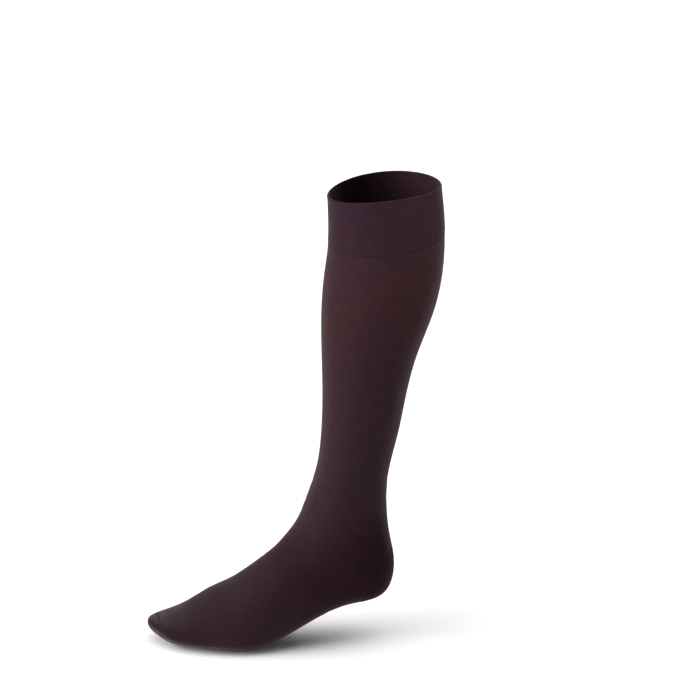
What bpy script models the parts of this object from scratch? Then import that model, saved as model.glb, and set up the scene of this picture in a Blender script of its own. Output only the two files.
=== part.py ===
"""Knee-high compression stocking, hollow, in the shape it has when it is worn.

The foot points along -X with its heel raised, as in a step, and +Y is the inner side of the leg.
The origin is the centre of the top opening. The stocking is one smooth surface through a table of
rings, cut into the zones that are knitted one after the other: top band, leg, heel pocket, foot
and toe cap. Each zone is a closed wall, and neighbours stand SEAM_GAP apart.
"""

from math import cos, pi, radians, sin
from typing import NamedTuple

import bmesh
import bpy
import numpy as np

MM = 0.001

# Wall thickness of each zone, in millimetres. The band is two layers of knit.
LEG_WALL = 1.2
HEEL_WALL = 1.6
TOE_WALL = 1.5
BAND_WALL = 2.2
BAND_PROUD = 0.4
SEAM_GAP = 0.3

# Faces round the leg, and rings along each zone.
ROUND = 44
BAND_RINGS = 5
FOLD_RINGS = 3
LEG_RINGS = 26
HEEL_RINGS = 9
FOOT_RINGS = 14
TOE_RINGS = 10

# The heel pocket lies on both sides of one ring. Lengths are on the ring scale, in millimetres.
HEEL_HALF_SPAN = 9  # faces on each side of the middle of the back
HEEL_RING_BELOW = 15.0  # its middle ring, below the back of the heel
HEEL_ABOVE = 37.0  # how far it reaches up the back from that ring
HEEL_BELOW = 47.0  # how far it reaches along the sole
HEEL_TIP = 0.02  # share of the half span by which its pointed ends stop short
TOE_CAP_LENGTH = 68.0  # back from the toe tip

TURNS = np.arange(ROUND) * 2 * pi / ROUND

MERGE = 1e-6  # metres
NORMAL_STEP = 0.5  # ring scale
NORMAL_TURN = 0.01  # radians


class Ring(NamedTuple):
    """One closed ring, in millimetres, lying across the leg or foot.

    front is its point on the shin or instep and back its point on the calf, heel or sole, each as
    (x, z). half_width is measured to the side. front_fuller is the share by which it is wider in
    its front half. back_square is the roundness of its back half: 2 is an ellipse, more is
    squarer. ridge moves the front point, and side the whole ring, towards the inner side.
    side_drop is how far its two sides hang below the line from front to back.
    """

    name: str
    front: tuple
    back: tuple
    half_width: float
    front_fuller: float = 0.0
    back_square: float = 2.1
    ridge: float = 0.0
    side: float = 0.0
    side_drop: float = 0.0


RINGS = (
    Ring("top_edge", (-54.5, -5.2), (54.6, 5.2), 52.5, -0.02, side_drop=-3.1),
    Ring("band_line", (-54.0, -53.0), (58.3, -41.0), 55.0, -0.03, side_drop=4.0),
    Ring("calf", (-57.8, -83.5), (57.0, -76.5), 56.0, -0.03, side_drop=2.5),
    Ring("calf_low", (-60.8, -123.0), (48.4, -120.0), 52.5),
    Ring("shin", (-60.6, -164.0), (32.5, -164.0), 45.0, 0.05),
    Ring("shin_low", (-60.0, -210.0), (21.0, -210.0), 37.5, 0.08),
    Ring("ankle_top", (-61.7, -250.0), (13.0, -250.0), 32.0, 0.12),
    Ring("ankle", (-66.8, -283.0), (4.6, -286.0), 30.5, 0.15),
    Ring("ankle_low", (-75.3, -309.0), (2.8, -316.0), 31.5, 0.15),
    Ring("heel_top", (-83.6, -329.8), (5.6, -348.0), 33.0, 0.10, 2.2),
    Ring("heel_back", (-93.5, -344.6), (10.2, -382.0), 34.0, 0.05, 2.3),
    Ring("heel_corner", (-103.0, -355.8), (0.8, -408.8), 33.5, 0.0, 2.4, 1.0),
    Ring("heel_base", (-112.2, -364.8), (-34.0, -418.4), 33.0, -0.08, 2.6, 2.0),
    Ring("arch", (-123.5, -374.6), (-66.0, -429.2), 34.0, -0.15, 2.8, 6.0, -1.0),
    Ring("waist", (-137.0, -386.2), (-98.0, -444.8), 38.0, -0.18, 2.9, 11.0, -2.0),
    Ring("ball", (-153.0, -398.4), (-132.0, -455.8), 42.5, -0.18, 3.0, 16.0, -1.5),
    Ring("toe_root", (-172.0, -410.0), (-162.0, -456.2), 42.0, -0.15, 3.0, 18.0, 2.0),
    Ring("toes", (-194.0, -424.4), (-189.0, -454.8), 38.0, -0.10, 2.8, 14.0, 7.5),
    Ring("toe_front", (-213.0, -431.2), (-211.0, -453.8), 30.0, -0.05, 2.6, 8.0, 13.5),
    Ring("toe_nose", (-224.2, -433.8), (-223.5, -449.6), 18.5, 0.0, 2.4, 2.0, 19.5),
    Ring("toe_end", (-229.5, -436.2), (-229.1, -446.0), 10.5, 0.0, 2.2, 0.0, 22.0),
    Ring("toe_close", (-231.1, -438.9), (-231.0, -443.1), 4.5, 0.0, 2.0, 0.0, 22.5),
    Ring("toe_tip", (-231.4, -441.0), (-231.4, -441.0), 0.0, 0.0, 2.0, 0.0, 22.5),
)


class Finish(NamedTuple):
    """A knit's colour (linear red, green, blue) and how rough it looks."""

    colour: tuple
    roughness: float


BAND_KNIT = Finish((0.034, 0.019, 0.027), 0.72)
LEG_KNIT = Finish((0.036, 0.018, 0.023), 0.78)
HEEL_KNIT = Finish((0.030, 0.016, 0.021), 0.80)
FOOT_KNIT = Finish((0.034, 0.018, 0.023), 0.78)
TOE_KNIT = Finish((0.032, 0.017, 0.022), 0.80)


def along(rings):
    """Each ring's place on the ring scale, the running sum of its longest step, front, back or side."""
    front, back, edge = [], [], []
    for ring in rings:
        front.append((*ring.front, ring.side))
        back.append((*ring.back, ring.side))
        edge.append((*np.add(ring.front, ring.back) / 2, ring.side - ring.half_width))
    steps = [np.linalg.norm(np.diff(line, axis=0), axis=1) for line in (front, back, edge)]
    return np.concatenate([[0.0], np.cumsum(np.max(steps, axis=0))])


def natural_spline(knots, values):
    """A function of the ring scale through all values, with continuous curvature."""
    step = np.diff(knots)
    slope = np.diff(values, axis=0) / step[:, None]
    system = np.eye(len(knots))
    target = np.zeros_like(values)
    for i in range(1, len(knots) - 1):
        system[i, i - 1 : i + 2] = step[i - 1], 2 * (step[i - 1] + step[i]), step[i]
        target[i] = 6 * (slope[i] - slope[i - 1])
    bend = np.linalg.solve(system, target)

    def at(place):
        i = np.clip(np.searchsorted(knots, place, side="right") - 1, 0, len(step) - 1)
        after = ((place - knots[i]) / step[i])[..., None]
        before = 1 - after
        line = before * values[i] + after * values[i + 1]
        curve = (before**3 - before) * bend[i] + (after**3 - after) * bend[i + 1]
        return line + curve * step[i][..., None] ** 2 / 6

    return at


PLACES = along(RINGS)
PLACE = {ring.name: place for ring, place in zip(RINGS, PLACES)}
RING_AT = natural_spline(PLACES, np.array([[*r.front, *r.back, *r[3:]] for r in RINGS]))


def signed_power(value, power):
    return np.sign(value) * np.abs(value) ** power


def surface(place, turn):
    """The outer face's points in millimetres. turn is 0 at the front and pi at the back."""
    place, turn = np.broadcast_arrays(np.asarray(place, float), np.asarray(turn, float))
    ring = np.moveaxis(RING_AT(place), -1, 0)
    fx, fz, bx, bz, half_width, fuller, square, ridge, side, side_drop = ring
    roundness = 2 + (square - 2) * (1 - np.cos(turn)) / 2
    forward = signed_power(np.cos(turn), 2 / roundness)
    sideways = signed_power(np.sin(turn), 2 / roundness)
    x = (fx + bx) / 2 + (fx - bx) / 2 * forward
    y = side + half_width * sideways * (1 + fuller * forward) + ridge * ((1 + forward) / 2) ** 2
    z = (fz + bz) / 2 + (fz - bz) / 2 * forward - side_drop * (1 - forward**2)
    return np.stack([x, y, z], axis=-1)


def unit(vectors):
    return vectors / np.linalg.norm(vectors, axis=-1, keepdims=True)


def outward(place, turn):
    """Unit normals of the outer face. A ring that has shrunk to a point gets one for all of it."""
    inside = np.clip(place, NORMAL_STEP, PLACES[-1] - NORMAL_STEP)
    down = surface(inside + NORMAL_STEP, turn) - surface(inside - NORMAL_STEP, turn)
    across = surface(inside, turn + NORMAL_TURN) - surface(inside, turn - NORMAL_TURN)
    normals = unit(np.cross(across, down))
    at_tip = place[:, 0] >= PLACES[-1]
    normals[at_tip] = unit(normals[at_tip].mean(axis=1, keepdims=True))
    return normals


def stretch(place, turn):
    """Millimetres on the surface for one step of the ring scale."""
    ahead = surface(place + NORMAL_STEP, turn) - surface(place - NORMAL_STEP, turn)
    return np.linalg.norm(ahead, axis=-1) / (2 * NORMAL_STEP)


def set_back(place, turn, side):
    """A border moved half a seam gap along the leg, side being -1 for upwards and 1 for down."""
    return place + side * SEAM_GAP / 2 / stretch(place, turn)


def heel_bow(turn):
    """1 at the back of the leg, falling to 0 at the heel pocket's two ends and in front of them."""
    from_back = np.abs(turn - pi) / (HEEL_HALF_SPAN * 2 * pi / ROUND)
    return np.cos(pi / 2 * np.minimum(from_back, 1.0))


def heel_upper(turn):
    """The border between the leg and what follows it: the heel pocket behind, the foot in front."""
    return PLACE["heel_back"] + HEEL_RING_BELOW - HEEL_ABOVE * heel_bow(turn)


def heel_lower(turn):
    """The border between what comes before the foot and the foot."""
    return PLACE["heel_back"] + HEEL_RING_BELOW + HEEL_BELOW * heel_bow(turn)


def spread(start, end, rings):
    """Places between two borders, as a grid with one row for each ring."""
    share = np.linspace(0.0, 1.0, rings + 1)[:, None]
    return start * (1 - share) + end * share


def band_rows():
    """The band's places with their offsets to the outer and inner face, its top edge a fold."""
    turn = TURNS[None, :]
    middle = BAND_PROUD - BAND_WALL / 2
    radius = BAND_WALL / 2
    border = set_back(np.full_like(turn, PLACE["band_line"]), turn, -1)
    angles = np.linspace(pi / 2, 0.0, FOLD_RINGS + 1)
    fold = [np.full_like(TURNS, radius * (1 - sin(angle))) for angle in angles]
    sheet = spread(np.full_like(turn, radius), border, BAND_RINGS)[1:]
    half = [radius * cos(angle) for angle in angles] + [radius] * BAND_RINGS
    half = np.array(half)[:, None]
    return np.vstack([fold, sheet]), middle + half, middle - half


def make_wall(name, place, turn, outer, inner, finish, closed=True):
    """One zone as a closed wall between two offsets of the stocking's surface.

    place and turn are grids with a row for each ring, and outer and inner the offsets in
    millimetres. A closed zone runs all round the leg, and any other has a rim at its two ends.
    Rings and columns that have shrunk to a point are merged there.
    """
    points = surface(place, turn)
    normals = outward(place, turn)
    rows, columns = place.shape
    mesh = bmesh.new()
    faces = {}
    for key, offset in (("outer", outer), ("inner", inner)):
        shifted = (points + normals * offset) * MM
        faces[key] = [[mesh.verts.new(point) for point in row] for row in shifted]
    last = columns if closed else columns - 1
    for row in range(rows - 1):
        for column in range(last):
            beside = (column + 1) % columns
            for key, order in (("outer", 1), ("inner", -1)):
                above, below = faces[key][row], faces[key][row + 1]
                corners = above[column], below[column], below[beside], above[beside]
                mesh.faces.new(corners[::order])
    for row, order in ((0, 1), (rows - 1, -1)):
        for column in range(last):
            beside = (column + 1) % columns
            outside, inside = faces["outer"][row], faces["inner"][row]
            corners = outside[column], outside[beside], inside[beside], inside[column]
            mesh.faces.new(corners[::order])
    if not closed:
        for column, order in ((0, -1), (columns - 1, 1)):
            for row in range(rows - 1):
                outside = faces["outer"][row][column], faces["outer"][row + 1][column]
                inside = faces["inner"][row + 1][column], faces["inner"][row][column]
                mesh.faces.new((outside + inside)[::order])
    bmesh.ops.remove_doubles(mesh, verts=mesh.verts, dist=MERGE)
    bmesh.ops.recalc_face_normals(mesh, faces=mesh.faces)
    data = bpy.data.meshes.new(name)
    mesh.to_mesh(data)
    mesh.free()
    data.shade_smooth()
    data.set_sharp_from_angle(angle=radians(50))
    data.materials.append(knit_material(name, finish))
    zone = bpy.data.objects.new(name, data)
    bpy.context.collection.objects.link(zone)
    return zone


def knit_material(name, finish):
    material = bpy.data.materials.new(name)
    material.use_nodes = True
    shader = material.node_tree.nodes["Principled BSDF"]
    shader.inputs["Base Color"].default_value = (*finish.colour, 1.0)
    shader.inputs["Roughness"].default_value = finish.roughness
    shader.inputs["Metallic"].default_value = 0.0
    return material


def plain_wall(name, start, end, rings, wall, finish, turns=None):
    """A zone of one thickness between two borders, each given as places for every turn."""
    turns = TURNS if turns is None else turns
    place = spread(start, end, rings)
    turn = np.broadcast_to(turns, place.shape)
    closed = len(turns) == ROUND
    return make_wall(name, place, turn, 0.0, -wall, finish, closed)


def make_top_band():
    place, outer, inner = band_rows()
    turn = np.broadcast_to(TURNS, place.shape)
    outer, inner = outer[:, :, None], inner[:, :, None]
    return make_wall("top_band", place, turn, outer, inner, BAND_KNIT)


def make_leg():
    start = set_back(np.full_like(TURNS, PLACE["band_line"]), TURNS, 1)
    end = set_back(heel_upper(TURNS), TURNS, -1)
    return plain_wall("leg", start, end, LEG_RINGS, LEG_WALL, LEG_KNIT)


def make_heel_pocket():
    """The pocket tapers to a point at each side, where leg and foot meet it."""
    half_span = HEEL_HALF_SPAN * 2 * pi / ROUND
    turns = pi + np.linspace(-half_span, half_span, 2 * HEEL_HALF_SPAN + 1)
    turns[[0, -1]] = pi - half_span * (1 - HEEL_TIP), pi + half_span * (1 - HEEL_TIP)
    start = set_back(heel_upper(turns), turns, 1)
    end = set_back(heel_lower(turns), turns, -1)
    ends = [0, -1]
    start[ends] = end[ends] = (start[ends] + end[ends]) / 2
    return plain_wall("heel_pocket", start, end, HEEL_RINGS, HEEL_WALL, HEEL_KNIT, turns)


def make_foot():
    start = set_back(heel_lower(TURNS), TURNS, 1)
    end = set_back(np.full_like(TURNS, PLACES[-1] - TOE_CAP_LENGTH), TURNS, -1)
    return plain_wall("foot", start, end, FOOT_RINGS, LEG_WALL, FOOT_KNIT)


def make_toe_cap():
    """Its rings draw closer together towards the tip, where the cap rounds off to a point."""
    start = set_back(np.full_like(TURNS, PLACES[-1] - TOE_CAP_LENGTH), TURNS, 1)
    share = np.sin(np.linspace(0.0, pi / 2, TOE_RINGS + 1))[:, None]
    place = start * (1 - share) + PLACES[-1] * share
    turn = np.broadcast_to(TURNS, place.shape)
    return make_wall("toe_cap", place, turn, 0.0, -TOE_WALL, TOE_KNIT)


def main():
    for leftover in list(bpy.data.objects):
        bpy.data.objects.remove(leftover)
    stocking = bpy.data.objects.new("stocking", None)
    bpy.context.collection.objects.link(stocking)
    for make_zone in (make_top_band, make_leg, make_heel_pocket, make_foot, make_toe_cap):
        make_zone().parent = stocking


main()
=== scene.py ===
"""Looks of a knee-high compression stocking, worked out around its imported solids.

The stocking is one smooth surface through a table of rings. Each knitted zone (top band, leg, heel
pocket, foot, toe cap) is a thin closed shell on that surface and stands for the solid of its name.
Rows of yarn loops lie where one zone is linked to the next. The origin is the centre of the top
opening, the foot points along -X and +Y is the inner side of the leg.
"""

import logging
from dataclasses import dataclass, field
from enum import Enum
from math import cos, pi, radians, sin
from typing import Callable

import bmesh
import bpy
import numpy as np
from mathutils import Matrix, Vector

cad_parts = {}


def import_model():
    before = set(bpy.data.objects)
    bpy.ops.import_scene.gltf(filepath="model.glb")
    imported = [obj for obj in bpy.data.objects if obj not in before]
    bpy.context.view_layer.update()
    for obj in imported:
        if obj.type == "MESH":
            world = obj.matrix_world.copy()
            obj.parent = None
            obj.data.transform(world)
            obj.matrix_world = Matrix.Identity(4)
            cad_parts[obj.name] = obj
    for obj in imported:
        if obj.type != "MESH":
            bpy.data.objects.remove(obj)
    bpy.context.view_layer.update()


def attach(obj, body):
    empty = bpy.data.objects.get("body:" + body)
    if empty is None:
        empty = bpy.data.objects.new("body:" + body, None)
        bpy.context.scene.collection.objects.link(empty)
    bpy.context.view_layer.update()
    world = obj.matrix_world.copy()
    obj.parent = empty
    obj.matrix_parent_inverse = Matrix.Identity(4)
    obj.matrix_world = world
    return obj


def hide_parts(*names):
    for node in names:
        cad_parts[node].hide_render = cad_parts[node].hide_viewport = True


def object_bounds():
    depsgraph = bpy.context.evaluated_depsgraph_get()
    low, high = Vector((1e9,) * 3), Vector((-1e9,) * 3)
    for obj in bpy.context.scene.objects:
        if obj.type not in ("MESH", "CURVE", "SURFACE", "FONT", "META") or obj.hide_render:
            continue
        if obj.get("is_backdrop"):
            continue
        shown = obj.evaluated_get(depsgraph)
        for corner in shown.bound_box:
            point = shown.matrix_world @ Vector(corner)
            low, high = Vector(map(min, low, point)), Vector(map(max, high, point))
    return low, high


MM = 0.001
BODY = "root"
LOG = logging.getLogger("stocking")

Grid = np.ndarray
Colour = tuple[float, float, float, float]
Tree = bpy.types.NodeTree
Node = bpy.types.Node
Materials = dict[str, bpy.types.Material]


# ---- The form ----


@dataclass(frozen=True)
class Ring:
    """One closed ring across the leg or foot, in millimetres.

    front is its point on the shin or instep and back its point on the calf, heel or sole, each as
    (x, z). half_width is measured to the side. front_fuller is the share by which it is wider in
    its front half. back_square is the roundness of its back half: 2 is an ellipse, more is
    squarer. ridge moves the front point, and side the whole ring, towards the inner side.
    side_drop is how far its two sides hang below the line from front to back.
    """

    name: str
    front: tuple[float, float]
    back: tuple[float, float]
    half_width: float
    front_fuller: float = 0.0
    back_square: float = 2.1
    ridge: float = 0.0
    side: float = 0.0
    side_drop: float = 0.0

    def values(self) -> tuple[float, ...]:
        """Lists its numbers.

        Returns:
            All of them, in the order in which the surface reads them.
        """
        shape = self.half_width, self.front_fuller, self.back_square
        shift = self.ridge, self.side, self.side_drop
        return (*self.front, *self.back, *shape, *shift)


RINGS = (
    Ring("top_edge", (-54.5, -5.2), (54.6, 5.2), 52.5, -0.02, side_drop=-3.1),
    Ring("band_line", (-54.0, -53.0), (58.3, -41.0), 55.0, -0.03, side_drop=4.0),
    Ring("calf", (-57.8, -83.5), (57.0, -76.5), 56.0, -0.03, side_drop=2.5),
    Ring("calf_low", (-60.8, -123.0), (48.4, -120.0), 52.5),
    Ring("shin", (-60.6, -164.0), (32.5, -164.0), 45.0, 0.05),
    Ring("shin_low", (-60.0, -210.0), (21.0, -210.0), 37.5, 0.08),
    Ring("ankle_top", (-61.7, -250.0), (13.0, -250.0), 32.0, 0.12),
    Ring("ankle", (-66.8, -283.0), (4.6, -286.0), 30.5, 0.15),
    Ring("ankle_low", (-75.3, -309.0), (2.8, -316.0), 31.5, 0.15),
    Ring("heel_top", (-83.6, -329.8), (5.6, -348.0), 33.0, 0.10, 2.2),
    Ring("heel_back", (-93.5, -344.6), (10.2, -382.0), 34.0, 0.05, 2.3),
    Ring("heel_corner", (-103.0, -355.8), (0.8, -408.8), 33.5, 0.0, 2.4, 1.0),
    Ring("heel_base", (-112.2, -364.8), (-34.0, -418.4), 33.0, -0.08, 2.6, 2.0),
    Ring("arch", (-123.5, -374.6), (-66.0, -429.2), 34.0, -0.15, 2.8, 6.0, -1.0),
    Ring("waist", (-137.0, -386.2), (-98.0, -444.8), 38.0, -0.18, 2.9, 11.0, -2.0),
    Ring("ball", (-153.0, -398.4), (-132.0, -455.8), 42.5, -0.18, 3.0, 16.0, -1.5),
    Ring("toe_root", (-172.0, -410.0), (-162.0, -456.2), 42.0, -0.15, 3.0, 18.0, 2.0),
    Ring("toes", (-194.0, -424.4), (-189.0, -454.8), 38.0, -0.10, 2.8, 14.0, 7.5),
    Ring("toe_front", (-213.0, -431.2), (-211.0, -453.8), 30.0, -0.05, 2.6, 8.0, 13.5),
    Ring("toe_nose", (-224.2, -433.8), (-223.5, -449.6), 18.5, 0.0, 2.4, 2.0, 19.5),
    Ring("toe_end", (-229.5, -436.2), (-229.1, -446.0), 10.5, 0.0, 2.2, 0.0, 22.0),
    Ring("toe_close", (-231.1, -438.9), (-231.0, -443.1), 4.5, 0.0, 2.0, 0.0, 22.5),
    Ring("toe_tip", (-231.4, -441.0), (-231.4, -441.0), 0.0, 0.0, 2.0, 0.0, 22.5),
)


@dataclass(frozen=True)
class Crease:
    """A soft trough across the knit.

    It lies below a ring. turn is its middle round the leg (0 at the front, 180 at the back) and
    reach its half length, in degrees. slant is how far it runs down the leg from its middle to its
    end. below, width and slant are on the ring scale, and depth is in millimetres.
    """

    ring: str
    below: float
    turn: float
    reach: float
    width: float
    depth: float
    slant: float = 0.0


CREASES = (
    Crease("ankle_low", 6.0, -8.0, 58.0, 6.5, 0.34, 5.0),
    Crease("ankle_low", 23.0, 12.0, 44.0, 5.0, 0.24, 3.5),
    Crease("ankle", 14.0, 20.0, 36.0, 7.5, 0.20, -4.0),
    Crease("ankle_low", -4.0, 172.0, 40.0, 6.0, 0.26, -4.0),
    Crease("ankle", 5.0, 190.0, 30.0, 8.0, 0.20, -3.0),
    Crease("heel_base", 20.0, 196.0, 42.0, 7.0, 0.26, 4.0),
    Crease("toe_root", 4.0, 8.0, 40.0, 8.0, 0.22, 6.0),
    Crease("calf_low", 12.0, 166.0, 30.0, 14.0, 0.25, 5.0),
    Crease("shin_low", -6.0, -150.0, 26.0, 13.0, 0.22, -6.0),
)


class StockingForm:
    """The stocking's outer face as one smooth surface through its rings, in millimetres.

    A point is given by its place on the ring scale (the running sum of the longest step between
    rings, front, back or side) and its turn round the leg in radians, 0 at the front and pi at the
    back, with the inner side of the leg at positive turns.
    """

    NORMAL_STEP = 0.5  # ring scale
    NORMAL_TURN = 0.01  # radians
    # The heel pocket and the toe cap. Their lengths are on the ring scale, so they are shorter on
    # the surface where the rings crowd.
    HEEL_HALF_SPAN = 18 * pi / 44  # radians round from the back: 9 of the solid's 44 faces
    HEEL_RING_BELOW = 15.0  # the pocket's middle ring, below the back of the heel
    HEEL_ABOVE = 37.0  # how far it reaches up the back from that ring
    HEEL_BELOW = 47.0  # how far it reaches along the sole
    TOE_CAP_LENGTH = 68.0  # back from the toe tip

    def __init__(self, rings: tuple[Ring, ...], creases: tuple[Crease, ...]) -> None:
        """Measures the ring scale and fits the curves along it.

        Args:
            rings: the rings from the top edge to the toe tip.
            creases: the soft troughs that the knit has.
        """
        self.values = np.array([ring.values() for ring in rings])
        front, back = self.values[:, 0:2], self.values[:, 2:4]
        half_width, side = self.values[:, 4], self.values[:, 8]
        lines = (
            np.column_stack([front, side]),
            np.column_stack([back, side]),
            np.column_stack([(front + back) / 2, side - half_width]),
        )
        steps = [np.linalg.norm(np.diff(line, axis=0), axis=1) for line in lines]
        self.knots = np.concatenate([[0.0], np.cumsum(np.max(steps, axis=0))])
        self.bend = self._bend()
        self.place = {ring.name: place for ring, place in zip(rings, self.knots)}
        self.tip = float(self.knots[-1])
        self.toe_line = self.tip - self.TOE_CAP_LENGTH
        self.creases = creases

    def _bend(self) -> Grid:
        """Fits natural cubic splines through all rings.

        Returns:
            Their second derivatives, a row for each ring.
        """
        step = np.diff(self.knots)
        slope = np.diff(self.values, axis=0) / step[:, None]
        system = np.eye(len(self.knots))
        target = np.zeros_like(self.values)
        for i in range(1, len(self.knots) - 1):
            system[i, i - 1 : i + 2] = step[i - 1], 2 * (step[i - 1] + step[i]), step[i]
            target[i] = 6 * (slope[i] - slope[i - 1])
        return np.linalg.solve(system, target)

    def ring_at(self, place: Grid) -> Grid:
        """Reads the splines.

        Args:
            place: places on the ring scale.

        Returns:
            The ring's ten numbers at each place, in the last axis.
        """
        step = np.diff(self.knots)
        i = np.clip(np.searchsorted(self.knots, place, side="right") - 1, 0, len(step) - 1)
        after = ((place - self.knots[i]) / step[i])[..., None]
        before = 1 - after
        line = before * self.values[i] + after * self.values[i + 1]
        curve = (before**3 - before) * self.bend[i] + (after**3 - after) * self.bend[i + 1]
        return line + curve * step[i][..., None] ** 2 / 6

    def surface(self, place: Grid, turn: Grid) -> Grid:
        """The outer face's points.

        Args:
            place: places on the ring scale.
            turn: turns round the leg, in radians.

        Returns:
            The points in millimetres, in the last axis.
        """
        place, turn = np.broadcast_arrays(np.asarray(place, float), np.asarray(turn, float))
        ring = np.moveaxis(self.ring_at(place), -1, 0)
        fx, fz, bx, bz, half_width, fuller, square, ridge, side, side_drop = ring
        roundness = 2 + (square - 2) * (1 - np.cos(turn)) / 2
        forward = signed_power(np.cos(turn), 2 / roundness)
        sideways = signed_power(np.sin(turn), 2 / roundness)
        x = (fx + bx) / 2 + (fx - bx) / 2 * forward
        wide = half_width * sideways * (1 + fuller * forward)
        y = side + wide + ridge * ((1 + forward) / 2) ** 2
        z = (fz + bz) / 2 + (fz - bz) / 2 * forward - side_drop * (1 - forward**2)
        return np.stack([x, y, z], axis=-1)

    def outward(self, place: Grid, turn: Grid) -> Grid:
        """The ways that the outer face looks.

        Args:
            place: places on the ring scale.
            turn: turns round the leg, in radians.

        Returns:
            Unit normals, in the last axis. A ring that has shrunk to a point has one for all of it.
        """
        inside = np.clip(place, self.NORMAL_STEP, self.tip - self.NORMAL_STEP)
        above = self.surface(inside - self.NORMAL_STEP, turn)
        below = self.surface(inside + self.NORMAL_STEP, turn)
        left = self.surface(inside, turn - self.NORMAL_TURN)
        right = self.surface(inside, turn + self.NORMAL_TURN)
        normals = unit(np.cross(right - left, below - above))
        at_tip = place[:, 0] >= self.tip
        normals[at_tip] = unit(normals[at_tip].mean(axis=1, keepdims=True))
        return normals

    def stretch(self, place: Grid, turn: Grid) -> Grid:
        """How long the surface is for the ring scale.

        Args:
            place: places on the ring scale.
            turn: turns round the leg, in radians.

        Returns:
            Millimetres along the surface for one step of the ring scale.
        """
        ahead = self.surface(place + self.NORMAL_STEP, turn)
        behind = self.surface(place - self.NORMAL_STEP, turn)
        return np.linalg.norm(ahead - behind, axis=-1) / (2 * self.NORMAL_STEP)

    def heel_bow(self, turn: Grid) -> Grid:
        """1 at the back of the leg, falling to 0 at the heel pocket's two ends and beyond them."""
        from_back = np.abs(np.abs(turn) - pi) / self.HEEL_HALF_SPAN
        return np.cos(pi / 2 * np.minimum(from_back, 1.0))

    def heel_middle(self) -> float:
        """The ring on both sides of which the heel pocket lies."""
        return self.place["heel_back"] + self.HEEL_RING_BELOW

    def heel_upper(self, turn: Grid) -> Grid:
        """The lower border of the leg: the heel pocket follows behind, and the foot in front."""
        return self.heel_middle() - self.HEEL_ABOVE * self.heel_bow(turn)

    def heel_lower(self, turn: Grid) -> Grid:
        """The upper border of the foot."""
        return self.heel_middle() + self.HEEL_BELOW * self.heel_bow(turn)

    def crease_depth(self, place: Grid, turn: Grid) -> Grid:
        """How far the knit lies below its smooth surface in the creases.

        Args:
            place: places on the ring scale.
            turn: turns round the leg, in radians.

        Returns:
            The depths in millimetres, less than 0 on the swells beside a trough.
        """
        depth = np.zeros(np.broadcast(place, turn).shape)
        for crease in self.creases:
            aside = np.mod(turn - radians(crease.turn) + pi, 2 * pi) - pi
            share = np.clip(np.abs(aside) / radians(crease.reach), 0.0, 1.0)
            middle = self.place[crease.ring] + crease.below + crease.slant * share**2
            across = (place - middle) / (crease.width / 2)
            bow = np.cos(pi / 2 * share) ** 2
            # A trough with a low swell on each side of it.
            depth += crease.depth * bow * (1 - across**2) * np.exp(-(across**2) / 2)
        return depth


def signed_power(value: Grid, power: Grid) -> Grid:
    """The power of a number's size, with the number's sign."""
    return np.sign(value) * np.abs(value) ** power


def unit(vectors: Grid) -> Grid:
    """The vectors at length 1."""
    return vectors / np.linalg.norm(vectors, axis=-1, keepdims=True)


def fade(distance: Grid, width: float) -> Grid:
    """1 at no distance, falling to 0 at the width and beyond it."""
    return np.clip(1 - distance / width, 0.0, 1.0) ** 2


def add_object(name: str, data: bpy.types.ID) -> bpy.types.Object:
    """Makes an object of a mesh, a light or a camera and sets it in the scene.

    Args:
        name: the object's name.
        data: what it shows.

    Returns:
        The object.
    """
    made = bpy.data.objects.new(name, data)
    bpy.context.collection.objects.link(made)
    return made


def finish_mesh(mesh: bpy.types.Mesh, merge: float = 0.0) -> None:
    """Turns a mesh's faces outwards and shades it smooth.

    Args:
        mesh: the mesh.
        merge: how near in metres its vertices are merged, 0 for none.
    """
    work = bmesh.new()
    work.from_mesh(mesh)
    if merge:
        bmesh.ops.remove_doubles(work, verts=work.verts, dist=merge)
    bmesh.ops.recalc_face_normals(work, faces=work.faces)
    work.to_mesh(mesh)
    work.free()
    mesh.shade_smooth()


# ---- Finishes ----


def linear(srgb: str) -> Colour:
    """Turns an sRGB hex colour into the linear one that Blender works with.

    Args:
        srgb: the colour, such as "#36252B".

    Returns:
        Linear red, green and blue, and full opacity.
    """
    channels = [int(srgb[i : i + 2], 16) / 255 for i in (1, 3, 5)]
    low = [c / 12.92 if c <= 0.04045 else ((c + 0.055) / 1.055) ** 2.4 for c in channels]
    return (*low, 1.0)


def fill(tree: Tree, node: Node, inputs: dict | tuple) -> None:
    """Fills a node's inputs.

    Args:
        tree: the node tree that it is in.
        node: the node.
        inputs: for each input, in order or by its name or number, its value, the socket that feeds
            it, or the node whose first output does.
    """
    pairs = inputs.items() if isinstance(inputs, dict) else enumerate(inputs)
    for key, value in pairs:
        source = value.outputs[0] if isinstance(value, Node) else value
        if isinstance(source, bpy.types.NodeSocket):
            tree.links.new(source, node.inputs[key])
        else:
            node.inputs[key].default_value = source


def add_node(tree: Tree, kind: str, inputs: dict | tuple = (), **settings: object) -> Node:
    """Adds a node with its settings, and fills its inputs.

    Args:
        tree: the node tree that it joins.
        kind: the node's type, such as "ShaderNodeMath".
        inputs: what goes into them, as fill takes it.
        settings: the node's own properties.

    Returns:
        The node.
    """
    node = tree.nodes.new(kind)
    for name, value in settings.items():
        setattr(node, name, value)
    fill(tree, node, inputs)
    return node


def new_material(name: str) -> tuple[bpy.types.Material, Tree, Node]:
    """Makes a material.

    Args:
        name: its name.

    Returns:
        The material, its node tree and its shader.
    """
    material = bpy.data.materials.new(name)
    material.use_nodes = True
    tree = material.node_tree
    return material, tree, tree.nodes["Principled BSDF"]


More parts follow.
